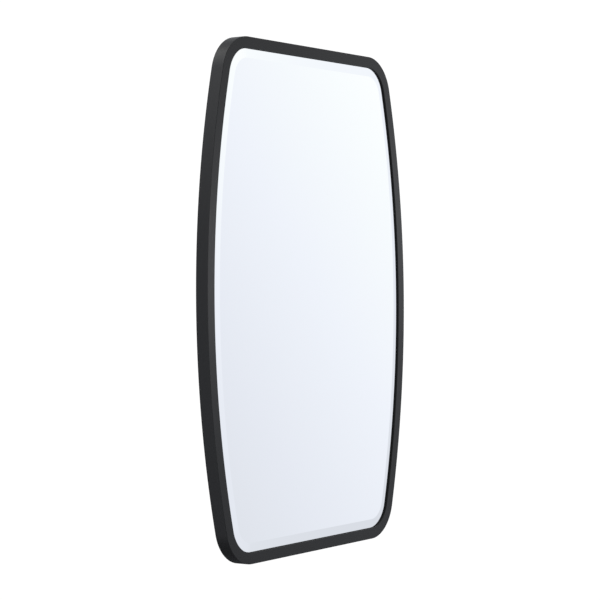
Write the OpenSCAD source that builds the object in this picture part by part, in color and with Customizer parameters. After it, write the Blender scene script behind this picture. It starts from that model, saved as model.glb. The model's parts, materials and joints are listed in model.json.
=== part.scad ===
/* [Outline] */
// Height over the frame
mirror_h = 914; // [850:1:960]
// Width over the frame at mid height, where the sides bow out most
mirror_w = 643; // [600:1:700]
// Outside radius of the bowed sides
side_r = 1626; // [1450:1:2000]
// Outside radius of the four corners
corner_r = 76; // [60:1:100]

/* [Frame tube] */
// Width of the tube's front face
tube_w = 20; // [16:0.5:30]
// Depth of the tube from front to back
tube_d = 25; // [25:0.5:32]
// Wall of the tube
tube_wall = 1.2; // [0.8:0.1:2]
// Rounding of the tube's long edges
tube_edge_r = 0.6; // [0.4:0.1:3]
// Diameter of the vent hole in the back of each bowed side
vent_d = 5; // [3:0.5:8]

/* [Glass] */
// Thickness of the mirror glass
glass_t = 5; // [4:0.5:6]
// Width of the bevel round the glass
bevel_w = 16; // [8:0.5:25]
// How much thinner the glass is at its edge than in the middle
bevel_drop = 1.4; // [1:0.1:2.6]
// Depth of the pane behind the front of the frame
pane_depth = 1.6; // [0.5:0.1:3]
// Gap between the glass or the board and the tube
edge_gap = 0.8; // [0.5:0.1:2]

/* [Backing] */
// Thickness of the foam tape between the glass and the board
tape_t = 1.1; // [0.8:0.1:2]
// Width of a tape strip
tape_w = 25; // [15:1:40]
// Thickness of the fibreboard
board_t = 9; // [8:0.5:9]
// Thickness of a support tab
tab_t = 2; // [1.5:0.1:2.5]
// Width of a support tab along the tube
tab_w = 24; // [20:1:30]
// How far a tab reaches in from the tube
tab_reach = 24; // [20:1:30]

/* [Hangers] */
// Width of a hanger strap
strap_w = 12; // [10:0.5:14]
// Thickness of a hanger strap
strap_t = 1.2; // [1:0.1:1.4]
// Length of a hanger strap from the ring's axis
strap_len = 48; // [44:1:60]
// Wire of a D ring
wire_d = 2.4; // [2:0.1:2.6]
// Width of a D ring between the centres of its sides
ring_w = 18; // [17:0.5:20]
// Length of a D ring from its axis to the centre of its round end
ring_len = 15; // [14:0.5:17]
// Height of the upper hangers' ring axes above the centre of the mirror
upper_hanger_z = 330; // [280:1:340]
// Distance of the upper hangers from the middle line
upper_hanger_x = 150; // [120:1:170]
// Distance of the side hangers' ring axes from the middle line
side_hanger_x = 240; // [200:1:250]
// Distance of the side hangers above and below the centre of the mirror
side_hanger_z = 200; // [150:1:240]

/* [Bumpers] */
// Diameter of a felt bumper
bumper_d = 12; // [8:0.5:15]
// Thickness of a felt bumper
bumper_t = 2; // [1:0.1:3]

/* [Hidden] */

black = [0.09, 0.09, 0.09];
zinc = [0.72, 0.72, 0.70];
nickel = [0.80, 0.78, 0.72];
silvered = [0.86, 0.90, 0.93];
foam = [0.93, 0.93, 0.90];
fibre = [0.62, 0.47, 0.32];
felt = [0.20, 0.20, 0.21];

// The wall is the plane y = 0. The mirror faces -Y, and its back faces the wall.
tube_back_y = -bumper_t;
tube_front_y = tube_back_y - tube_d;
tube_mid_y = (tube_front_y + tube_back_y) / 2;
pane_y = tube_front_y + pane_depth;
bevel_y = pane_y + bevel_drop;
glass_back_y = pane_y + glass_t;
board_front_y = glass_back_y + tape_t;
board_back_y = board_front_y + board_t;

// The outline has bowed sides, straight ends and round corners. The right side's centre is at x = side_c,
// and the upper right corner's centre is at (corner_x, corner_z).
side_c = mirror_w / 2 - side_r;
corner_z = mirror_h / 2 - corner_r;
corner_x = side_c + sqrt(pow(side_r - corner_r, 2) - pow(corner_z, 2));
side_half_angle = asin(corner_z / (side_r - corner_r));

// Steps along half a side, round a corner and round a small rounding, and $fn of a bend and of small parts
bow_steps = 20;
corner_steps = 20;
edge_steps = 5;
bend_fn = 256;
small_fn = 48;

// Least rounding inside the tube's long edges
inner_edge_r = 0.4;

// The vent holes are this far above the lower end of each side
vent_height = 40;

// How far a cutter runs past the part it cuts
cut = 1;

// Foam tape strips
tape_pitch = 100;
tape_half_len = 390;

// Height of the outer tabs' middles above and below the middle of a side
tab_z = 230;

// Pan-head screws and their cross recess
screw_d = 3;
screw_bite = 6.5;
head_d = 7;
head_h = 2;
head_rim = 0.7;
recess_len = 4;
recess_w = 0.8;
recess_h = 1;
screw_hole_d = 3.4;

// A hanger, measured along the strap from the ring's axis and up from the board. The ring turns in the
// curl with curl_gap all round, and lies wire_lift above the strap.
curl_gap = 0.05;
curl_in_r = wire_d / 2 + curl_gap;
curl_out_r = curl_in_r + strap_t;
wire_lift = 0.35;
axis_lift = strap_t + wire_lift + wire_d / 2;
head_gap = 1.5;
hanger_screw_1 = ring_len + wire_d / 2 + head_gap + head_d / 2;
hanger_screw_2 = strap_len - strap_w / 2;
ring_corner_r = 2.4;

// Each hanger's x, z and turn. An upper strap runs down from its ring, a side strap runs inwards.
upper_left = [-upper_hanger_x, upper_hanger_z, 0];
upper_right = [upper_hanger_x, upper_hanger_z, 0];
side_upper = [side_hanger_x, side_hanger_z, 90];
side_lower = [side_hanger_x, -side_hanger_z, 90];
hangers = [upper_left, upper_right, side_upper, side_lower];

// Points along an arc from angle a0 to a1
function arc(cx, cy, r, a0, a1, steps) =
    [for (i = [0:steps]) let (a = a0 + (a1 - a0) * i / steps) [cx + r * cos(a), cy + r * sin(a)]];

function without_first(points) = [for (i = [1:len(points) - 1]) points[i]];
function reversed(points) = [for (i = [len(points) - 1:-1:0]) points[i]];
function flip_x(points) = [for (p = points) [-p[0], p[1]]];
function flip_y(points) = [for (p = points) [p[0], -p[1]]];

// Half of the right side and the upper right corner, moved in by inset
function quarter(inset) = concat(
    arc(side_c, 0, side_r - inset, 0, side_half_angle, bow_steps),
    without_first(arc(corner_x, corner_z, corner_r - inset, side_half_angle, 90, corner_steps))
);

function upper_half(inset) = let (q = quarter(inset)) concat(q, reversed(flip_x(q)));

// The whole outline, moved in by inset. Both halves have the points at mid height, so one copy is left out.
function outline(inset) =
    let (upper = upper_half(inset))
    concat(without_first(upper), without_first(flip_y(reversed(upper))));

// x of the inner wall of the right side at a height z
function wall_x(z) = side_c + sqrt(pow(side_r - tube_w, 2) - pow(z, 2));

// Lays a flat shape, drawn in x and z, as a plate from y0 back to y1
module plate(y0, y1) {
    translate([0, y1, 0]) rotate([90, 0, 0]) linear_extrude(y1 - y0) children();
}

function rounded_box(w, d, r) = concat(
    arc(w / 2 - r, d / 2 - r, r, 0, 90, edge_steps),
    arc(-w / 2 + r, d / 2 - r, r, 90, 180, edge_steps),
    arc(-w / 2 + r, -d / 2 + r, r, 180, 270, edge_steps),
    arc(w / 2 - r, -d / 2 + r, r, 270, 360, edge_steps)
);

// Cross-section of the tube. Its centre is at the origin, with x across the face and y through the depth.
module tube_section() {
    inner_r = max(tube_edge_r - tube_wall, inner_edge_r);
    difference() {
        polygon(rounded_box(tube_w, tube_d, tube_edge_r));
        polygon(rounded_box(tube_w - 2 * tube_wall, tube_d - 2 * tube_wall, inner_r));
    }
}

// Tube bent to an outside radius, from angle a0 over sweep degrees, in the plane of the mirror
module bent_tube(outside_r, a0, sweep) {
    translate([0, tube_mid_y, 0]) rotate([90, 0, 0]) rotate([0, 0, a0])
        rotate_extrude(angle = sweep, $fn = bend_fn)
            translate([outside_r - tube_w / 2, 0]) tube_section();
}

module side_rail() {
    vent_z = vent_height - corner_z;
    vent_x = wall_x(vent_z) + tube_w / 2;
    difference() {
        translate([side_c, 0, 0]) bent_tube(side_r, -side_half_angle, 2 * side_half_angle);
        translate([vent_x, tube_back_y + cut, vent_z]) rotate([90, 0, 0])
            cylinder(d = vent_d, h = tube_wall + 2 * cut, $fn = small_fn);
    }
}

module end_rail() {
    translate([-corner_x, tube_mid_y, mirror_h / 2 - tube_w / 2]) rotate([90, 0, 90])
        linear_extrude(2 * corner_x) rotate([0, 0, 90]) tube_section();
}

module corner() {
    translate([corner_x, 0, corner_z]) bent_tube(corner_r, side_half_angle, 90 - side_half_angle);
}

module side_rail_right() { color(black) side_rail(); }
module side_rail_left() { color(black) mirror([1, 0, 0]) side_rail(); }
module top_rail() { color(black) end_rail(); }
module bottom_rail() { color(black) mirror([0, 0, 1]) end_rail(); }
module corner_top_right() { color(black) corner(); }
module corner_top_left() { color(black) mirror([1, 0, 0]) corner(); }
module corner_bottom_right() { color(black) mirror([0, 0, 1]) corner(); }
module corner_bottom_left() { color(black) mirror([1, 0, 0]) mirror([0, 0, 1]) corner(); }

// Glass with a bevelled front edge: rings of points round the pane, the edge's front and the edge's back
module mirror_glass() {
    pane = outline(tube_w + edge_gap + bevel_w);
    edge = outline(tube_w + edge_gap);
    n = len(edge);
    points = concat(
        [for (p = pane) [p[0], pane_y, p[1]]],
        [for (p = edge) [p[0], bevel_y, p[1]]],
        [for (p = edge) [p[0], glass_back_y, p[1]]]
    );
    faces = concat(
        [[for (i = [n - 1:-1:0]) i]],
        [for (ring = [0, n], i = [0:n - 1]) let (j = (i + 1) % n)
            [ring + i, ring + j, ring + n + j, ring + n + i]],
        [[for (i = [0:n - 1]) 2 * n + i]]
    );
    color(silvered) polyhedron(points, faces);
}

// Upright strips of foam tape, which the glass is bonded with. Strip 3 is in the middle.
module tape_strip(i) {
    color(foam) translate([(i - 3) * tape_pitch - tape_w / 2, glass_back_y, -tape_half_len])
        cube([tape_w, tape_t, 2 * tape_half_len]);
}

module tape_strip_1() { tape_strip(1); }
module tape_strip_2() { tape_strip(2); }
module tape_strip_3() { tape_strip(3); }
module tape_strip_4() { tape_strip(4); }
module tape_strip_5() { tape_strip(5); }

// Stands a shape on the back of the board at (x, z): its own +z points at the wall, its +y points down
module on_back(x, z, turn = 0) {
    translate([x, board_back_y, z]) rotate([-90, 0, 0]) rotate([0, 0, turn]) children();
}

// Fibreboard with a pilot hole for every screw
module backing_board() {
    color(fibre) difference() {
        plate(board_front_y, board_back_y) polygon(outline(tube_w + edge_gap));
        at_tab_screws() pilot_hole();
        at_hanger_screws() pilot_hole();
    }
}

module pilot_hole() {
    translate([0, 0, -screw_bite]) cylinder(d = screw_d, h = screw_bite + cut, $fn = small_fn);
}

// A tab in the plane of the mirror: its hole is at (x, z), and its round end points along angle
module tab(x, z, angle) {
    color(black) plate(board_back_y, board_back_y + tab_t) difference() {
        intersection() {
            polygon(outline(tube_w));
            translate([x, z]) rotate([0, 0, angle]) {
                circle(d = tab_w, $fn = small_fn);
                translate([-tab_reach, -tab_w / 2]) square([tab_reach, tab_w]);
            }
        }
        translate([x, z]) circle(d = screw_hole_d, $fn = small_fn);
    }
}

// Distance of a tab's hole from the tube's inner wall
tab_in = tab_reach - tab_w / 2;
side_tab_x = wall_x(tab_z) - tab_in;
middle_tab_x = wall_x(0) - tab_in;
end_tab_z = mirror_h / 2 - tube_w - tab_in;

module tab_right_upper() { tab(side_tab_x, tab_z, 180); }
module tab_right_middle() { tab(middle_tab_x, 0, 180); }
module tab_right_lower() { tab(side_tab_x, -tab_z, 180); }
module tab_left_upper() { tab(-side_tab_x, tab_z, 0); }
module tab_left_middle() { tab(-middle_tab_x, 0, 0); }
module tab_left_lower() { tab(-side_tab_x, -tab_z, 0); }
module tab_top() { tab(0, end_tab_z, 270); }
module tab_bottom() { tab(0, -end_tab_z, 90); }

module at_tab_screws() {
    for (side = [-1, 1]) {
        for (z = [-tab_z, tab_z]) on_back(side * side_tab_x, z) children();
        on_back(side * middle_tab_x, 0) children();
        on_back(0, side * end_tab_z) children();
    }
}

module at_hanger_screws() {
    for (place = hangers, along = [hanger_screw_1, hanger_screw_2])
        on_back(place[0], place[1], place[2]) translate([0, along, 0]) children();
}

// A pan-head screw with a cross recess, driven through a sheet of thickness grip that lies on z = 0
module screw(grip) {
    dome = [for (a = [0:90 / edge_steps:90])
        [head_d / 2 * cos(a), grip + head_rim + (head_h - head_rim) * sin(a)]];
    difference() {
        rotate_extrude($fn = small_fn) polygon(concat(
            [[0, -screw_bite], [screw_d / 2, -screw_bite], [screw_d / 2, grip], [head_d / 2, grip]],
            dome
        ));
        for (turn = [0, 90]) translate([0, 0, grip + head_h]) rotate([0, 0, turn])
            cube([recess_len, recess_w, 2 * recess_h], center = true);
    }
}

module tab_screws() { color(zinc) at_tab_screws() screw(tab_t); }
module hanger_screws() { color(zinc) at_hanger_screws() screw(strap_t); }

// Lies along +y from the ring's axis, flat on z = 0, with its near end curled round the ring
module hanger_strap() {
    color(nickel) difference() {
        union() {
            translate([-strap_w / 2, 0, 0]) cube([strap_w, strap_len - strap_w / 2, strap_t]);
            translate([0, strap_len - strap_w / 2, 0]) cylinder(d = strap_w, h = strap_t, $fn = small_fn);
            curl(curl_out_r, strap_w);
        }
        curl(curl_in_r, strap_w + 2 * cut);
        for (along = [hanger_screw_1, hanger_screw_2]) translate([0, along, -cut])
            cylinder(d = screw_hole_d, h = strap_t + 2 * cut, $fn = small_fn);
    }
}

// A round bar along the ring's axis
module curl(r, length) {
    translate([0, 0, axis_lift]) rotate([0, 90, 0])
        cylinder(r = r, h = length, center = true, $fn = small_fn);
}

// Part of a ring of wire in the plane z = axis_lift, round (x, y)
module bent_wire(x, y, r, a0, sweep) {
    translate([x, y, axis_lift]) rotate([0, 0, a0])
        rotate_extrude(angle = sweep, $fn = small_fn * 2)
            translate([r, 0]) circle(d = wire_d, $fn = small_fn);
}

// D-shaped ring: a bar in the curl, two short sides and a round end
module d_ring() {
    bar_half = ring_w / 2 - ring_corner_r;
    round_y = ring_len - ring_w / 2;
    color(zinc) union() {
        curl(wire_d / 2, 2 * bar_half);
        for (side = [-1, 1]) {
            translate([side * ring_w / 2, ring_corner_r, axis_lift]) rotate([-90, 0, 0])
                cylinder(d = wire_d, h = round_y - ring_corner_r, $fn = small_fn);
            mirror([side < 0 ? 1 : 0, 0, 0]) bent_wire(bar_half, ring_corner_r, ring_corner_r, 270, 90);
        }
        bent_wire(0, round_y, ring_w / 2, 0, 180);
    }
}

module at_hanger(place) { on_back(place[0], place[1], place[2]) children(); }

module hanger_strap_upper_left() { at_hanger(upper_left) hanger_strap(); }
module hanger_strap_upper_right() { at_hanger(upper_right) hanger_strap(); }
module hanger_strap_side_upper() { at_hanger(side_upper) hanger_strap(); }
module hanger_strap_side_lower() { at_hanger(side_lower) hanger_strap(); }
module ring_upper_left() { at_hanger(upper_left) d_ring(); }
module ring_upper_right() { at_hanger(upper_right) d_ring(); }
module ring_side_upper() { at_hanger(side_upper) d_ring(); }
module ring_side_lower() { at_hanger(side_lower) d_ring(); }

// Round felt bumpers on the back of the four corners
module felt_bumpers() {
    angle = (side_half_angle + 90) / 2;
    reach = corner_r - tube_w / 2;
    color(felt) for (x = [-1, 1], z = [-1, 1])
        translate([x * (corner_x + reach * cos(angle)), 0, z * (corner_z + reach * sin(angle))])
            rotate([90, 0, 0]) cylinder(d = bumper_d, h = bumper_t, $fn = small_fn);
}

side_rail_left();
side_rail_right();
top_rail();
bottom_rail();
corner_top_left();
corner_top_right();
corner_bottom_left();
corner_bottom_right();
mirror_glass();
tape_strip_1();
tape_strip_2();
tape_strip_3();
tape_strip_4();
tape_strip_5();
backing_board();
tab_left_upper();
tab_left_middle();
tab_left_lower();
tab_right_upper();
tab_right_middle();
tab_right_lower();
tab_top();
tab_bottom();
tab_screws();
hanger_strap_upper_left();
hanger_strap_upper_right();
hanger_strap_side_upper();
hanger_strap_side_lower();
hanger_screws();
ring_upper_left();
ring_upper_right();
ring_side_upper();
ring_side_lower();
felt_bumpers();
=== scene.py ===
"""A bevelled wall mirror in a black steel tube frame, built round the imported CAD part.

Lengths are in metres.
"""

import json
import math

import bpy
from mathutils import Matrix, Vector
from mathutils import noise as mathutils_noise


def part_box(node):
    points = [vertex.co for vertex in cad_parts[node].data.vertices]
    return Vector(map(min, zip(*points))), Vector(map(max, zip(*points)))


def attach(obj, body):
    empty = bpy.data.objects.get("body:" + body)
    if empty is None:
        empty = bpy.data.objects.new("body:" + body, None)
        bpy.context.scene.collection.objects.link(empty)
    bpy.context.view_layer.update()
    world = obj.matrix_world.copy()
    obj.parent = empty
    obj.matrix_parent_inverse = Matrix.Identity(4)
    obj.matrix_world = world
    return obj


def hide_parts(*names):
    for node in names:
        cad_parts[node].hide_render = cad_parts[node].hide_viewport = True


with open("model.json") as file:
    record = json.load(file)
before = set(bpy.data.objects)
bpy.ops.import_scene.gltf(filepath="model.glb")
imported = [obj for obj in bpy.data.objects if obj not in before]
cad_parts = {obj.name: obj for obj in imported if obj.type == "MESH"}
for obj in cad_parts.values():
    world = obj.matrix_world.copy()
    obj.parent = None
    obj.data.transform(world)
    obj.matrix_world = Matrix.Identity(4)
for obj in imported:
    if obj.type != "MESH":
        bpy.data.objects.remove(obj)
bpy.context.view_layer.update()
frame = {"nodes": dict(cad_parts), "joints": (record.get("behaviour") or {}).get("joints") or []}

MM = 0.001
BODY = "mirror"

# ---------------------------------------------------------------- sizes, as in the CAD part
CORNER_R = 76 * MM
SIDE_R = 1626 * MM
TUBE_W = 20 * MM
TUBE_WALL = 1.2 * MM
TUBE_EDGE_R = 0.6 * MM
TUBE_INNER_R = 0.4 * MM
EDGE_GAP = 0.8 * MM
BEVEL_W = 16 * MM
BEVEL_DROP = 1.4 * MM
VENT_R = 2.5 * MM
VENT_HEIGHT = 40 * MM

glass_low, glass_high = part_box("mirror_glass")
tube_low, tube_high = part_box("top_rail")
HALF_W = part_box("side_rail_right")[1][0]
HALF_H = tube_high[2]
TUBE_FRONT = tube_low[1]
TUBE_BACK = tube_high[1]
PANE_Y = glass_low[1]
GLASS_BACK = glass_high[1]
BOARD_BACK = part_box("backing_board")[1][1]

# Centres of the right side's curve and of the upper right corner, and where the two curves meet
SIDE_C = HALF_W - SIDE_R
CORNER_Z = HALF_H - CORNER_R
CORNER_X = SIDE_C + math.sqrt((SIDE_R - CORNER_R) ** 2 - CORNER_Z**2)
SIDE_HALF_ANGLE = math.asin(CORNER_Z / (SIDE_R - CORNER_R))

# Steps along a side, round a corner, along an end and round the tube's long edges
SIDE_STEPS = 160
CORNER_STEPS = 48
END_STEPS = 24
ROUND_STEPS = 6


# ---------------------------------------------------------------- mesh helpers
def mesh_piece(name, verts, faces, materials, slots=None, sharp=()):
    """A mesh object with smooth faces.

    slots gives each face's material, and sharp the edges that stay crisp.
    """
    mesh = bpy.data.meshes.new(name)
    mesh.from_pydata(verts, [], faces)
    mesh.validate()
    for material in materials:
        mesh.materials.append(material)
    for i, polygon in enumerate(mesh.polygons):
        polygon.use_smooth = True
        if slots:
            polygon.material_index = slots[i]
    if sharp:
        wanted = {frozenset(pair) for pair in sharp}
        flags = mesh.attributes.new("sharp_edge", "BOOLEAN", "EDGE")
        flags.data.foreach_set("value", [frozenset(e.vertices) in wanted for e in mesh.edges])
    piece = bpy.data.objects.new(name, mesh)
    bpy.context.scene.collection.objects.link(piece)
    return piece


def arc(cx, cz, radius, start, end, steps):
    """Stations along an arc of the frame's outer edge: each is a point and its outward normal."""
    stations = []
    for i in range(steps + 1):
        a = start + (end - start) * i / steps
        normal = (math.cos(a), math.sin(a))
        stations.append((cx + radius * normal[0], cz + radius * normal[1], *normal))
    return stations


def right_side():
    return arc(SIDE_C, 0, SIDE_R, -SIDE_HALF_ANGLE, SIDE_HALF_ANGLE, SIDE_STEPS)


def upper_right_corner():
    return arc(CORNER_X, CORNER_Z, CORNER_R, SIDE_HALF_ANGLE, math.pi / 2, CORNER_STEPS)


def top_end():
    xs = [CORNER_X - 2 * CORNER_X * i / END_STEPS for i in range(END_STEPS + 1)]
    return [(x, HALF_H, 0.0, 1.0) for x in xs]


def mirrored(stations, in_x=False, in_z=False):
    """The stations on the other side, in the same anticlockwise order."""
    sx, sz = -1 if in_x else 1, -1 if in_z else 1
    flipped = [(x * sx, z * sz, nx * sx, nz * sz) for x, z, nx, nz in stations]
    return flipped[::-1] if in_x != in_z else flipped


def whole_outline():
    """Stations all round the frame, anticlockwise from the lower end of the right side, with no repeats."""
    runs = [
        right_side(),
        upper_right_corner(),
        top_end(),
        mirrored(upper_right_corner(), in_x=True),
        mirrored(right_side(), in_x=True),
        mirrored(upper_right_corner(), in_x=True, in_z=True),
        mirrored(top_end(), in_z=True),
        mirrored(upper_right_corner(), in_z=True),
    ]
    return [station for run in runs for station in run[:-1]]


def at(station, inset, y):
    """The point that lies inset in from the frame's outer edge, at depth y."""
    x, z, nx, nz = station
    return (x - nx * inset, y, z - nz * inset)


def rounded_section(inset, radius):
    """The tube's cross-section, shrunk by inset: (distance in from the outer edge, y) pairs, in order."""
    near, far = inset + radius, TUBE_W - inset - radius
    front, back = TUBE_FRONT + inset + radius, TUBE_BACK - inset - radius
    corners = [(far, back, 0), (near, back, 90), (near, front, 180), (far, front, 270)]
    section = []
    for across, y, turn in corners:
        for i in range(ROUND_STEPS + 1):
            a = math.radians(turn + 90 * i / ROUND_STEPS)
            section.append((across + radius * math.cos(a), y + radius * math.sin(a)))
    return section


def soften(piece, crisp_angle=math.radians(40)):
    """Keeps edges over crisp_angle sharp, and weights the normals by area so that flat faces look flat."""
    mesh = piece.data
    mesh.set_sharp_from_angle(angle=crisp_angle)
    modifier = piece.modifiers.new("weighted_normals", "WEIGHTED_NORMAL")
    modifier.keep_sharp = True
    return piece


def ridden(piece, replaced):
    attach(piece, BODY)
    if replaced:
        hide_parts(replaced)


# ---------------------------------------------------------------- node helpers
def node(tree, kind, **settings):
    made = tree.nodes.new(kind)
    for key, value in settings.items():
        setattr(made, key, value)
    return made


def feed(tree, socket, value):
    if isinstance(value, bpy.types.NodeSocket):
        tree.links.new(value, socket)
    else:
        socket.default_value = value


def calc(tree, operation, *values):
    """A Math node on sockets or numbers. Gives its output."""
    made = node(tree, "ShaderNodeMath", operation=operation)
    for socket, value in zip(made.inputs, values):
        feed(tree, socket, value)
    return made.outputs[0]


def remap(tree, value, low, high, to_low, to_high, smooth=False):
    made = node(tree, "ShaderNodeMapRange", interpolation_type="SMOOTHSTEP" if smooth else "LINEAR")
    for name, number in (("From Min", low), ("From Max", high), ("To Min", to_low), ("To Max", to_high)):
        made.inputs[name].default_value = number
    feed(tree, made.inputs["Value"], value)
    return made.outputs[0]


def blend_colours(tree, factor, a, b):
    made = node(tree, "ShaderNodeMix", data_type="RGBA")
    feed(tree, made.inputs[0], factor)
    for socket, colour in ((made.inputs[6], a), (made.inputs[7], b)):
        feed(tree, socket, colour if isinstance(colour, bpy.types.NodeSocket) else (*colour, 1.0))
    return made.outputs[2]


def noise(tree, scale, detail=3.0, roughness=0.5, stretch=None, kind="ShaderNodeTexNoise"):
    """Noise in the object's own coordinates.

    scale is in features per metre, and stretch scales x, y and z.
    """
    where = node(tree, "ShaderNodeTexCoord").outputs["Object"]
    if stretch:
        mapping = node(tree, "ShaderNodeMapping")
        mapping.inputs["Scale"].default_value = stretch
        tree.links.new(where, mapping.inputs["Vector"])
        where = mapping.outputs[0]
    made = node(tree, kind)
    tree.links.new(where, made.inputs["Vector"])
    made.inputs["Scale"].default_value = scale
    if kind == "ShaderNodeTexNoise":
        made.inputs["Detail"].default_value = detail
        made.inputs["Roughness"].default_value = roughness
    return made.outputs[0]


def bump(tree, height, depth):
    made = node(tree, "ShaderNodeBump")
    made.inputs["Strength"].default_value = 1.0
    made.inputs["Distance"].default_value = depth
    tree.links.new(height, made.inputs["Height"])
    return made.outputs[0]


def new_material(name):
    """A material with a lone Principled shader. Gives the material, its tree and the shader."""
    material = bpy.data.materials.new(name)
    material.use_nodes = True
    tree = material.node_tree
    return material, tree, tree.nodes["Principled BSDF"]


# ---------------------------------------------------------------- materials
def powder_coat():
    """Satin black powder coat: a fine orange peel, with the sheen a little uneven."""
    material, tree, shader = new_material("black_powder_coat")
    peel = noise(tree, 950, detail=2.0)
    patches = noise(tree, 14, detail=2.0)
    grain = noise(tree, 4200, detail=1.0)
    colour = blend_colours(tree, patches, (0.0075, 0.0076, 0.0079), (0.0110, 0.0111, 0.0114))
    tree.links.new(colour, shader.inputs["Base Color"])
    tree.links.new(remap(tree, patches, 0.3, 0.7, 0.36, 0.42), shader.inputs["Roughness"])
    height = calc(tree, "ADD", peel, calc(tree, "MULTIPLY", grain, 0.25))
    tree.links.new(bump(tree, height, 0.02 * MM), shader.inputs["Normal"])
    shader.inputs["Specular IOR Level"].default_value = 0.18
    return material


def silvered_glass():
    """Mirror seen through clear glass: nearly perfect, with the faintest haze."""
    material, tree, shader = new_material("silvered_glass")
    haze = noise(tree, 9, detail=4.0)
    colour = blend_colours(tree, haze, (0.945, 0.957, 0.955), (0.950, 0.960, 0.958))
    tree.links.new(colour, shader.inputs["Base Color"])
    tree.links.new(remap(tree, haze, 0.3, 0.7, 0.0, 0.012), shader.inputs["Roughness"])
    shader.inputs["Metallic"].default_value = 1.0
    return material


def glass_edge():
    """The ground edge of the sheet, where the glass shows its green."""
    material, tree, shader = new_material("glass_edge")
    grind = noise(tree, 700, stretch=(1, 6, 1))
    colour = blend_colours(tree, grind, (0.16, 0.28, 0.24), (0.26, 0.40, 0.35))
    tree.links.new(colour, shader.inputs["Base Color"])
    tree.links.new(remap(tree, grind, 0.3, 0.7, 0.20, 0.40), shader.inputs["Roughness"])
    return material


def backing_paint():
    material, tree, shader = new_material("backing_paint")
    rolled = noise(tree, 260, detail=4.0)
    colour = blend_colours(tree, rolled, (0.17, 0.18, 0.19), (0.22, 0.23, 0.24))
    tree.links.new(colour, shader.inputs["Base Color"])
    tree.links.new(remap(tree, rolled, 0.3, 0.7, 0.45, 0.60), shader.inputs["Roughness"])
    return material


def fibreboard():
    """Raw fibreboard: a fine mottle of short fibres with darker flecks."""
    material, tree, shader = new_material("fibreboard")
    mottle = noise(tree, 38, detail=6.0, roughness=0.6)
    fibres = noise(tree, 900, detail=3.0, stretch=(1, 1, 0.25))
    flecks = noise(tree, 420, detail=2.0, stretch=(1, 1, 0.5))
    base = blend_colours(tree, mottle, (0.300, 0.196, 0.112), (0.420, 0.290, 0.178))
    toned = blend_colours(tree, remap(tree, fibres, 0.35, 0.70, 0.0, 0.55), base, (0.500, 0.370, 0.245))
    colour = blend_colours(tree, remap(tree, flecks, 0.66, 0.74, 0.0, 0.75), toned, (0.115, 0.066, 0.034))
    tree.links.new(colour, shader.inputs["Base Color"])
    tree.links.new(remap(tree, fibres, 0.3, 0.7, 0.68, 0.84), shader.inputs["Roughness"])
    tree.links.new(bump(tree, fibres, 0.06 * MM), shader.inputs["Normal"])
    return material


def plated_metal(name, dark, light, roughness, scratch_stretch):
    """Plated steel: bright, with fine draw marks and uneven brightness."""
    material, tree, shader = new_material(name)
    tone = noise(tree, 120, detail=4.0)
    marks = noise(tree, 2600, detail=2.0, stretch=scratch_stretch)
    tree.links.new(blend_colours(tree, tone, dark, light), shader.inputs["Base Color"])
    streaks = remap(tree, marks, 0.3, 0.7, -0.05, 0.05)
    uneven = calc(tree, "ADD", streaks, remap(tree, tone, 0.3, 0.7, 0, 0.06))
    tree.links.new(calc(tree, "ADD", uneven, roughness), shader.inputs["Roughness"])
    tree.links.new(bump(tree, marks, 0.008 * MM), shader.inputs["Normal"])
    shader.inputs["Metallic"].default_value = 1.0
    return material


def foam_tape():
    material, tree, shader = new_material("foam_tape")
    cells = noise(tree, 1500, kind="ShaderNodeTexVoronoi")
    colour = blend_colours(tree, cells, (0.80, 0.80, 0.76), (0.90, 0.90, 0.87))
    tree.links.new(colour, shader.inputs["Base Color"])
    tree.links.new(remap(tree, cells, 0.0, 1.0, 0.70, 0.85), shader.inputs["Roughness"])
    tree.links.new(bump(tree, cells, 0.1 * MM), shader.inputs["Normal"])
    return material


def felt():
    material, tree, shader = new_material("felt")
    fuzz = noise(tree, 2400, detail=6.0, roughness=0.7)
    colour = blend_colours(tree, fuzz, (0.020, 0.020, 0.022), (0.085, 0.085, 0.090))
    tree.links.new(colour, shader.inputs["Base Color"])
    tree.links.new(remap(tree, fuzz, 0.3, 0.7, 0.85, 0.98), shader.inputs["Roughness"])
    tree.links.new(bump(tree, fuzz, 0.3 * MM), shader.inputs["Normal"])
    shader.inputs["Sheen Weight"].default_value = 0.3
    return material


def floor_paint():
    material, tree, shader = new_material("floor_paint")
    tone = noise(tree, 1.5, detail=2.0)
    colour = blend_colours(tree, tone, (0.80, 0.80, 0.81), (0.84, 0.84, 0.85))
    tree.links.new(colour, shader.inputs["Base Color"])
    tree.links.new(remap(tree, tone, 0.3, 0.7, 0.55, 0.65), shader.inputs["Roughness"])
    return material


BLACK = powder_coat()
MIRROR = silvered_glass()
GLASS_EDGE = glass_edge()
BACKING_PAINT = backing_paint()
BOARD = fibreboard()
ZINC = plated_metal("bright_zinc", (0.52, 0.53, 0.54), (0.68, 0.68, 0.66), 0.26, (1, 1, 1))
STRAP = plated_metal("nickel_strap", (0.50, 0.47, 0.42), (0.64, 0.61, 0.56), 0.30, (0.2, 1, 1))
RING = plated_metal("nickel_wire", (0.56, 0.54, 0.50), (0.70, 0.68, 0.64), 0.18, (1, 1, 1))
TAPE = foam_tape()
FELT = felt()


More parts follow.
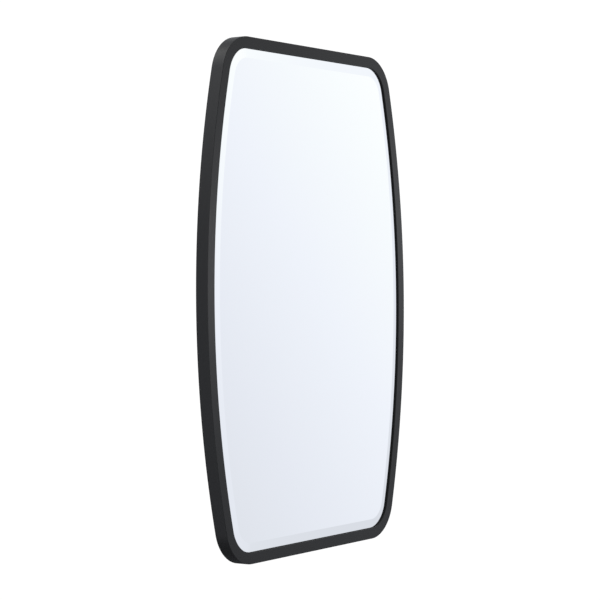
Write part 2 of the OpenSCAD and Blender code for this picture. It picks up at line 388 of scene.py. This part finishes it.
# ---------------------------------------------------------------- frame
def tube(name, stations, node_name, vent_z=None):
    """A hollow tube along the stations, open at both ends, which meet the next tubes."""
    rings = (rounded_section(0, TUBE_EDGE_R), rounded_section(TUBE_WALL, TUBE_INNER_R))
    n = len(rings[0])
    verts = [at(s, inset, y) for s in stations for ring in rings for inset, y in ring]
    faces = []
    for i in range(len(stations) - 1):
        here, there = 2 * n * i, 2 * n * (i + 1)
        for j in range(n):
            k = (j + 1) % n
            faces.append((here + j, there + j, there + k, here + k))
            faces.append((here + n + k, there + n + k, there + n + j, here + n + j))
    last = 2 * n * (len(stations) - 1)
    for j in range(n):
        k = (j + 1) % n
        faces.append((j, k, n + k, n + j))
        faces.append((last + k, last + j, last + n + j, last + n + k))
    piece = mesh_piece(name, verts, faces, [BLACK])
    if vent_z is not None:
        drill(piece, vent_z)
    ridden(soften(piece), node_name)


def drill(piece, vent_z):
    """Cuts the vent hole through the tube's back wall at a height."""
    side = math.copysign(1, piece.data.vertices[0].co.x)
    vent_x = side * (SIDE_C + math.sqrt((SIDE_R - TUBE_W / 2) ** 2 - vent_z**2))
    spin = Matrix.Translation((vent_x, TUBE_BACK, vent_z)) @ Matrix.Rotation(math.pi / 2, 4, "X")
    cutter = lathe("vent_cutter", [(0, -2 * MM), (VENT_R, -2 * MM), (VENT_R, 2 * MM), (0, 2 * MM)], [BLACK])
    cutter.data.transform(spin)
    modifier = piece.modifiers.new("vent", "BOOLEAN")
    modifier.object = cutter
    modifier.solver = "EXACT"
    apply_modifiers(piece)
    bpy.data.objects.remove(cutter)


def apply_modifiers(piece):
    graph = bpy.context.evaluated_depsgraph_get()
    mesh = bpy.data.meshes.new_from_object(piece.evaluated_get(graph), depsgraph=graph)
    piece.modifiers.clear()
    piece.data = mesh


def lathe(name, profile, materials, steps=40):
    """A closed solid of revolution about z. The profile runs from the axis to the axis as (radius, z)."""
    verts, rings = [], []
    for radius, z in profile:
        if radius == 0:
            rings.append([len(verts)] * steps)
            verts.append((0, 0, z))
        else:
            rings.append([len(verts) + i for i in range(steps)])
            turns = [2 * math.pi * i / steps for i in range(steps)]
            verts.extend((radius * math.cos(a), radius * math.sin(a), z) for a in turns)
    faces = []
    for low, high in zip(rings, rings[1:]):
        for i in range(steps):
            j = (i + 1) % steps
            corners = (low[i], low[j], high[j], high[i])
            faces.append(tuple(dict.fromkeys(corners)))
    return mesh_piece(name, verts, faces, materials)


def frame_tubes():
    side, corner, end = right_side(), upper_right_corner(), top_end()
    vent_z = VENT_HEIGHT - CORNER_Z
    tube("frame_side_right", side, "side_rail_right", vent_z)
    tube("frame_side_left", mirrored(side, in_x=True), "side_rail_left", vent_z)
    tube("frame_top", end, "top_rail")
    tube("frame_bottom", mirrored(end, in_z=True), "bottom_rail")
    tube("frame_corner_top_right", corner, "corner_top_right")
    tube("frame_corner_top_left", mirrored(corner, in_x=True), "corner_top_left")
    tube("frame_corner_bottom_right", mirrored(corner, in_z=True), "corner_bottom_right")
    tube("frame_corner_bottom_left", mirrored(corner, in_x=True, in_z=True), "corner_bottom_left")


# ---------------------------------------------------------------- glass
def bevelled_glass():
    """The pane, its bevel, the ground edge and the painted back."""
    outline = whole_outline()
    n = len(outline)
    edge_inset = TUBE_W + EDGE_GAP
    rings = [(edge_inset + BEVEL_W, PANE_Y), (edge_inset, PANE_Y + BEVEL_DROP), (edge_inset, GLASS_BACK)]
    verts = [at(s, inset, y) for inset, y in rings for s in outline]
    faces, slots, sharp = [tuple(range(n))], [0], []
    for ring, slot in ((0, 0), (1, 1)):
        for i in range(n):
            j = (i + 1) % n
            low, high = ring * n, (ring + 1) * n
            faces.append((high + i, high + j, low + j, low + i))
            slots.append(slot)
    faces.append(tuple(range(3 * n - 1, 2 * n - 1, -1)))
    slots.append(2)
    for ring in range(3):
        sharp += [(ring * n + i, ring * n + (i + 1) % n) for i in range(n)]
    piece = mesh_piece("bevelled_mirror", verts, faces, [MIRROR, GLASS_EDGE, BACKING_PAINT], slots, sharp)
    ridden(piece, "mirror_glass")


# ---------------------------------------------------------------- back
STRAP_T = 1.2 * MM
TAB_T = 2 * MM
TAB_HOLE_IN = 12 * MM
TAB_W = 24 * MM
HEAD_R = 3.5 * MM
HEAD_H = 2 * MM
HEAD_RIM = 0.7 * MM
SHANK_R = 1.5 * MM
SCREW_BITE = 6.5 * MM
HANGER_SCREWS = (21.2 * MM, 42 * MM)
BEAD_R = 1.5 * MM
BEAD_LIFT = 0.3 * MM
BEAD_STEPS = 60
BEAD_SIDES = 16
BEAD_RIPPLES = 13
BEAD_RIPPLE = 0.09
BEAD_WANDER = 0.12 * MM
BEAD_BLUNTNESS = 8
BEAD_END = 0.02
FELT_R = 6 * MM
FELT_ROUND = 0.5 * MM
FELT_RINGS = 24
FELT_FOOT = 0.2 * MM
FELT_FOOT_H = 0.3 * MM
FELT_ROUND_STEPS = 6
FELT_SWELL = 0.012
FELT_LUMP = 1.1 * MM
FELT_UNEVEN = 0.12 * MM
RECESS_DEPTH = 1.2 * MM
GOLDEN_TURN = math.radians(137.5)


def screw_mesh(grip):
    """A pan-head screw with a cross recess, along +z, with the board's face at z = 0."""
    dome = []
    for i in range(9):
        a = math.pi / 2 * i / 8
        dome.append((HEAD_R * math.cos(a), grip + HEAD_RIM + (HEAD_H - HEAD_RIM) * math.sin(a)))
    dome[-1] = (0, dome[-1][1])
    profile = [(0, -SCREW_BITE), (SHANK_R, -SCREW_BITE), (SHANK_R, grip), (HEAD_R, grip), *dome]
    screw = lathe("screw", profile, [ZINC], steps=48)
    for turn in (0, math.pi / 2):
        arm = recess_arm(grip + HEAD_H, turn)
        modifier = screw.modifiers.new("recess", "BOOLEAN")
        modifier.object = arm
        modifier.solver = "EXACT"
        apply_modifiers(screw)
        bpy.data.objects.remove(arm)
    mesh = screw.data
    bpy.data.objects.remove(screw)
    return mesh


def recess_arm(top, turn):
    """One arm of the cross recess: a slot that narrows towards its floor."""
    floor, over = top - RECESS_DEPTH, top + 0.4 * MM
    sections = ((1.2 * MM, 0.32 * MM, floor), (2.3 * MM, 0.48 * MM, over))
    verts = [
        (x * half_l * math.cos(turn) - y * half_w * math.sin(turn),
         x * half_l * math.sin(turn) + y * half_w * math.cos(turn), z)
        for half_l, half_w, z in sections
        for x, y in ((-1, -1), (1, -1), (1, 1), (-1, 1))
    ]
    walls = [(i, (i + 1) % 4, 4 + (i + 1) % 4, 4 + i) for i in range(4)]
    return mesh_piece("recess", verts, [(3, 2, 1, 0), (4, 5, 6, 7), *walls], [ZINC])


def on_back(x, z, turn=0.0):
    """Places a shape drawn along +z on the board's back face at (x, z)."""
    stand = Matrix.Translation((x, BOARD_BACK, z)) @ Matrix.Rotation(-math.pi / 2, 4, "X")
    return stand @ Matrix.Rotation(turn, 4, "Z")


def joined(name, meshes, materials):
    """One object holding copies of meshes, each moved by its own matrix: meshes is (mesh, matrix) pairs."""
    verts, faces = [], []
    for mesh, matrix in meshes:
        start = len(verts)
        verts += [matrix @ v.co for v in mesh.vertices]
        faces += [tuple(start + i for i in p.vertices) for p in mesh.polygons]
    return mesh_piece(name, verts, faces, materials)


def screws(name, places, grip, node_name):
    """All the screws of one kind. Each stands turned its own way."""
    mesh = screw_mesh(grip)
    pairs = [(mesh, on_back(x, z, GOLDEN_TURN * i)) for i, (x, z) in enumerate(places)]
    piece = joined(name, pairs, [ZINC])
    ridden(soften(piece, math.radians(32)), node_name)


TAB_NODES = [
    "tab_left_upper", "tab_left_middle", "tab_left_lower",
    "tab_right_upper", "tab_right_middle", "tab_right_lower",
    "tab_top", "tab_bottom",
]


def tab_holes():
    """Each tab's hole, which is at the middle of its round end, with the direction out to the tube."""
    holes = []
    for name in TAB_NODES:
        low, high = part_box(name)
        middle = (low + high) / 2
        if name in ("tab_top", "tab_bottom"):
            out = math.copysign(1, middle.z)
            inner = low.z if out > 0 else high.z
            holes.append((middle.x, inner + out * TAB_HOLE_IN, 0.0, out))
        else:
            out = math.copysign(1, middle.x)
            inner = low.x if out > 0 else high.x
            holes.append((inner + out * TAB_HOLE_IN, middle.z, out, 0.0))
    return holes


def hanger_screw_places():
    """Two screws along each strap, which runs down from an upper ring and inwards from a side ring."""
    places = []
    for joint in frame["joints"]:
        x, _, z = joint["pos_m"]
        for along in HANGER_SCREWS:
            places.append((x, z - along) if joint["axis"][0] else (x - along, z))
    return places


def weld_beads():
    """A bead of weld along each tab's root, where the tab meets the tube's inner wall."""
    verts, faces = [], []
    for x, z, out_x, out_z in tab_holes():
        root = Vector((x, BOARD_BACK + TAB_T + BEAD_LIFT, z))
        root += Vector((out_x, 0, out_z)) * (TAB_HOLE_IN - BEAD_LIFT)
        along = Vector((-out_z, 0, out_x))
        across = Vector((out_x, 0, out_z))
        start = len(verts)
        for i in range(BEAD_STEPS + 1):
            t = 2 * i / BEAD_STEPS - 1
            taper = math.sqrt(max(1 - t**BEAD_BLUNTNESS, BEAD_END))
            ripple = 1 + BEAD_RIPPLE * math.sin(BEAD_RIPPLES * math.pi * t + out_x + 2 * out_z)
            wander = BEAD_WANDER * math.sin(5 * t + 3 * x / TAB_W)
            bow = wall_bow(z + along.z * t * TAB_W / 2, z) if out_x else 0.0
            middle = root + along * (t * TAB_W / 2) + across * (wander + bow)
            for k in range(BEAD_SIDES):
                a = 2 * math.pi * k / BEAD_SIDES
                radius = BEAD_R * taper * ripple
                verts.append(middle + across * (radius * math.cos(a)) + Vector((0, radius * math.sin(a), 0)))
        for i in range(BEAD_STEPS):
            here, there = start + i * BEAD_SIDES, start + (i + 1) * BEAD_SIDES
            for k in range(BEAD_SIDES):
                j = (k + 1) % BEAD_SIDES
                faces.append((here + k, here + j, there + j, there + k))
        last = start + BEAD_STEPS * BEAD_SIDES
        faces.append(tuple(range(start + BEAD_SIDES - 1, start - 1, -1)))
        faces.append(tuple(range(last, last + BEAD_SIDES)))
    piece = mesh_piece("weld_beads", verts, faces, [BLACK])
    ridden(piece, None)


def wall_bow(z, middle_z):
    """How much further out the side's inner wall is at z than at middle_z."""
    reach = SIDE_R - TUBE_W
    return math.sqrt(reach**2 - z**2) - math.sqrt(reach**2 - middle_z**2)


def felt_pads():
    """Felt discs with soft edges and a slightly uneven face, glued to the tubes' backs."""
    low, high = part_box("felt_bumpers")
    thick = high.y - low.y
    reach = CORNER_R - TUBE_W / 2
    angle = (SIDE_HALF_ANGLE + math.pi / 2) / 2
    profile = [(0, 0), (FELT_R - FELT_FOOT, 0), (FELT_R, FELT_FOOT_H), (FELT_R, thick - FELT_ROUND)]
    for i in range(1, FELT_ROUND_STEPS + 1):
        a = math.pi / 2 * i / FELT_ROUND_STEPS
        profile.append((FELT_R - FELT_ROUND * (1 - math.cos(a)), thick - FELT_ROUND * (1 - math.sin(a))))
    for i in range(1, FELT_RINGS):
        profile.append(((FELT_R - FELT_ROUND) * (1 - i / FELT_RINGS), thick))
    profile.append((0, thick))
    disc = lathe("disc", profile, [FELT], steps=72)
    for v in disc.data.vertices:
        if v.co.z > 0:
            lump = mathutils_noise.noise(v.co / FELT_LUMP) * 0.5 - 0.5
            v.co.z += FELT_UNEVEN * lump
            v.co.x *= 1 + FELT_SWELL * lump
            v.co.y *= 1 + FELT_SWELL * lump
    pairs = []
    for sx in (-1, 1):
        for sz in (-1, 1):
            x = sx * (CORNER_X + reach * math.cos(angle))
            z = sz * (CORNER_Z + reach * math.sin(angle))
            stand = Matrix.Translation((x, low.y, z)) @ Matrix.Rotation(-math.pi / 2, 4, "X")
            pairs.append((disc.data, stand @ Matrix.Rotation(GOLDEN_TURN * len(pairs), 4, "Z")))
    piece = joined("felt_pads", pairs, [FELT])
    bpy.data.objects.remove(disc)
    ridden(piece, "felt_bumpers")


def finish_cad_nodes():
    """Gives the CAD nodes that stay their materials, and eases their edges by so many millimetres."""
    looks = {"tape_strip": (TAPE, 0), "backing_board": (BOARD, 0.4), "tab_": (BLACK, 0.25)}
    looks |= {"hanger_strap": (STRAP, 0.18), "ring_": (RING, 0)}
    for name, cad in frame["nodes"].items():
        for prefix, (material, rounding) in looks.items():
            if name.startswith(prefix) and not cad.hide_render:
                cad.data.materials.clear()
                cad.data.materials.append(material)
                if rounding:
                    ease_edges(cad, rounding * MM)


def ease_edges(cad, width):
    weld = cad.modifiers.new("weld", "WELD")
    weld.merge_threshold = 0.01 * MM
    bevel = cad.modifiers.new("ease", "BEVEL")
    bevel.width = width
    bevel.segments = 2
    bevel.limit_method = "ANGLE"
    bevel.angle_limit = math.radians(50)
    bevel.harden_normals = True


# ---------------------------------------------------------------- studio
FLOOR_Z = -1.4
FLOOR_R = 1.7
FLOOR_T = 0.04
FLOOR_EDGE = 0.005
FLOOR_STEPS = 128
CAMERA_AT = (-2.9933, -2.0028, 0.0318)
YAW = 0.9807
PITCH = -0.0092
ROLL = -0.0077
LENS = 118.60

# The window that the pane reflects: its bearing, half width, half height and soft edge in degrees, and its
# colours, from dim to bright. The bevels reflect what is just round it.
WINDOW_BEARING = 33.4
WINDOW_HALF_W = 5.0
WINDOW_HALF_H = 8.5
WINDOW_EDGE = 1.5
WINDOW_STOPS = [
    (-26, (213, 216, 224)),
    (-16, (223, 226, 234)),
    (-10, (229, 232, 241)),
    (0, (239, 242, 250)),
    (10, (249, 252, 254)),
    (15, (255, 255, 255)),
]
# Steps of brightness on that scale: per degree across and up the window, and round it
SLOPE_ACROSS = 2.6
SLOPE_UP = 1.35
BESIDE_REACH = 2.5
BESIDE_CHANGE = -5.0
ABOVE_REACH = 8.0
ABOVE_CHANGE = 14.0
SURROUND_LEVEL = -5.0

# Dimmer and brighter parts of the room. Each is a direction, a cosine and the share of the light within it,
# and a cosine and the share beyond it.
PATCHES = [
    ((0.835, -0.55, 0.0), 0.90, 1.0, 0.70, 0.62),
    ((0.35, 0.94, 0.0), 0.45, 0.25, 0.23, 1.0),
    ((-0.65, 0.52, 0.55), 0.97, 6.0, 0.91, 1.0),
    ((-0.80, 0.52, -0.26), 0.95, 3.6, 0.85, 1.0),
    ((0.70, 0.55, 0.45), 0.90, 4.4, 0.75, 1.0),
]

# The share of light that the glass gives back, and the strength of the white that the camera sees
GLASS_SHARE = 0.95
WHITE_STRENGTH = 1.05


def floor():
    """A round pale floor well below the mirror, which leaves no reflection."""
    rim = [(FLOOR_R, -FLOOR_T), (FLOOR_R, -FLOOR_EDGE), (FLOOR_R - FLOOR_EDGE, 0)]
    slab = lathe("floor", [(0, -FLOOR_T), *rim, (0, 0)], [floor_paint()], steps=FLOOR_STEPS)
    slab.location.z = FLOOR_Z
    slab.visible_glossy = False


def camera():
    """The camera stands to the left of the mirror and looks along it, a little in from the left edge."""
    forward = Vector((math.sin(YAW) * math.cos(PITCH), math.cos(YAW) * math.cos(PITCH), math.sin(PITCH)))
    right = Vector((math.cos(YAW), -math.sin(YAW), 0))
    up = right.cross(forward)
    level = right * math.cos(ROLL) + up * math.sin(ROLL)
    upright = up * math.cos(ROLL) - right * math.sin(ROLL)
    lens = bpy.data.cameras.new("camera")
    lens.lens = LENS
    lens.sensor_width = 36
    lens.clip_start = 0.02
    lens.clip_end = 50
    seen = bpy.data.objects.new("camera", lens)
    seen.matrix_world = Matrix((level, upright, -forward)).transposed().to_4x4()
    seen.location = CAMERA_AT
    bpy.context.scene.collection.objects.link(seen)
    bpy.context.scene.camera = seen


def light(name, place, target, size, watts, diffuse_only=False):
    """A soft round lamp. A diffuse-only one leaves no glint of itself in the glass or the paint."""
    lamp = bpy.data.lights.new(name, "AREA")
    lamp.shape = "DISK"
    lamp.size = size
    lamp.energy = watts
    made = bpy.data.objects.new(name, lamp)
    made.location = place
    made.rotation_euler = (Vector(target) - Vector(place)).to_track_quat("-Z", "Y").to_euler()
    made.visible_camera = False
    made.visible_glossy = not diffuse_only
    bpy.context.scene.collection.objects.link(made)


def linear(level):
    """A displayed level from 0 to 255 as light."""
    share = level / 255
    return share / 12.92 if share <= 0.04045 else ((share + 0.055) / 1.055) ** 2.4


def studio_light():
    """A white surround to the camera. Everything else sees a soft room with a pale window."""
    world = bpy.data.worlds.new("studio")
    bpy.context.scene.world = world
    world.use_nodes = True
    tree = world.node_tree
    tree.nodes.clear()
    way = node(tree, "ShaderNodeTexCoord").outputs["Generated"]
    split = node(tree, "ShaderNodeSeparateXYZ")
    tree.links.new(way, split.inputs[0])
    dx, dy, dz = split.outputs
    to_degrees = 180 / math.pi
    bearing = calc(tree, "MULTIPLY", calc(tree, "ARCTAN2", dy, dx), to_degrees)
    turn = calc(tree, "ADD", bearing, WINDOW_BEARING)
    rise = calc(tree, "MULTIPLY", calc(tree, "ARCSINE", dz), to_degrees)

    across = calc(tree, "MULTIPLY", turn, SLOPE_ACROSS)
    slope = calc(tree, "ADD", across, calc(tree, "MULTIPLY", rise, SLOPE_UP))
    beside = fade(tree, turn, BESIDE_REACH, BESIDE_CHANGE)
    above = fade(tree, rise, ABOVE_REACH, ABOVE_CHANGE)
    surround = calc(tree, "ADD", calc(tree, "ADD", beside, above), SURROUND_LEVEL)
    inside = edge_mask(tree, turn, WINDOW_HALF_W)
    window = calc(tree, "MULTIPLY", inside, edge_mask(tree, rise, WINDOW_HALF_H))
    brightness = node(tree, "ShaderNodeMix", data_type="FLOAT")
    for index, value in ((0, window), (2, surround), (3, slope)):
        tree.links.new(value, brightness.inputs[index])
    ramp = node(tree, "ShaderNodeValToRGB")
    low, high = WINDOW_STOPS[0][0], WINDOW_STOPS[-1][0]
    tree.links.new(remap(tree, brightness.outputs[0], low, high, 0.0, 1.0), ramp.inputs[0])
    stops = ramp.color_ramp.elements
    while len(stops) < len(WINDOW_STOPS):
        stops.new(0.5)
    for stop, (t, rgb) in zip(stops, WINDOW_STOPS):
        stop.position = (t - low) / (high - low)
        stop.color = (*(linear(c) for c in rgb), 1.0)

    share = 1 / GLASS_SHARE
    for direction, inner, inner_share, outer, outer_share in PATCHES:
        toward = node(tree, "ShaderNodeVectorMath", operation="DOT_PRODUCT")
        tree.links.new(way, toward.inputs[0])
        toward.inputs[1].default_value = Vector(direction).normalized()
        shade = remap(tree, toward.outputs["Value"], outer, inner, outer_share, inner_share, smooth=True)
        share = calc(tree, "MULTIPLY", share, shade)

    soft = node(tree, "ShaderNodeBackground")
    tree.links.new(ramp.outputs[0], soft.inputs[0])
    tree.links.new(share, soft.inputs[1])
    white = node(tree, "ShaderNodeBackground")
    white.inputs[0].default_value = (1, 1, 1, 1)
    white.inputs[1].default_value = WHITE_STRENGTH
    mix = node(tree, "ShaderNodeMixShader")
    tree.links.new(node(tree, "ShaderNodeLightPath").outputs["Is Camera Ray"], mix.inputs[0])
    tree.links.new(soft.outputs[0], mix.inputs[1])
    tree.links.new(white.outputs[0], mix.inputs[2])
    tree.links.new(mix.outputs[0], node(tree, "ShaderNodeOutputWorld").inputs[0])


def fade(tree, angle, reach, change):
    """Goes smoothly from -change to +change as the angle goes past zero."""
    return calc(tree, "MULTIPLY", calc(tree, "TANH", calc(tree, "DIVIDE", angle, reach)), change)


def edge_mask(tree, angle, half):
    """1 within half of the middle, with a soft edge."""
    return remap(tree, calc(tree, "ABSOLUTE", angle), half, half + WINDOW_EDGE, 1.0, 0.0, smooth=True)


frame_tubes()
bevelled_glass()
screws("tab_fixings", [(x, z) for x, z, _, _ in tab_holes()], TAB_T, "tab_screws")
screws("hanger_fixings", hanger_screw_places(), STRAP_T, "hanger_screws")
weld_beads()
felt_pads()
finish_cad_nodes()
floor()
camera()
light("left_fill", (-0.25, -0.26, 0.06), (-0.32, 0, 0.06), 0.2, 2.3, diffuse_only=True)
light("right_fill", (0.36, -0.32, 0.14), (0.36, 0, 0.14), 0.2, 3.4, diffuse_only=True)
light("back", (-0.3, 2.7, 2.1), (0, 0, 0), 1.8, 95)
studio_light()
bpy.context.scene.view_settings.view_transform = "Standard"
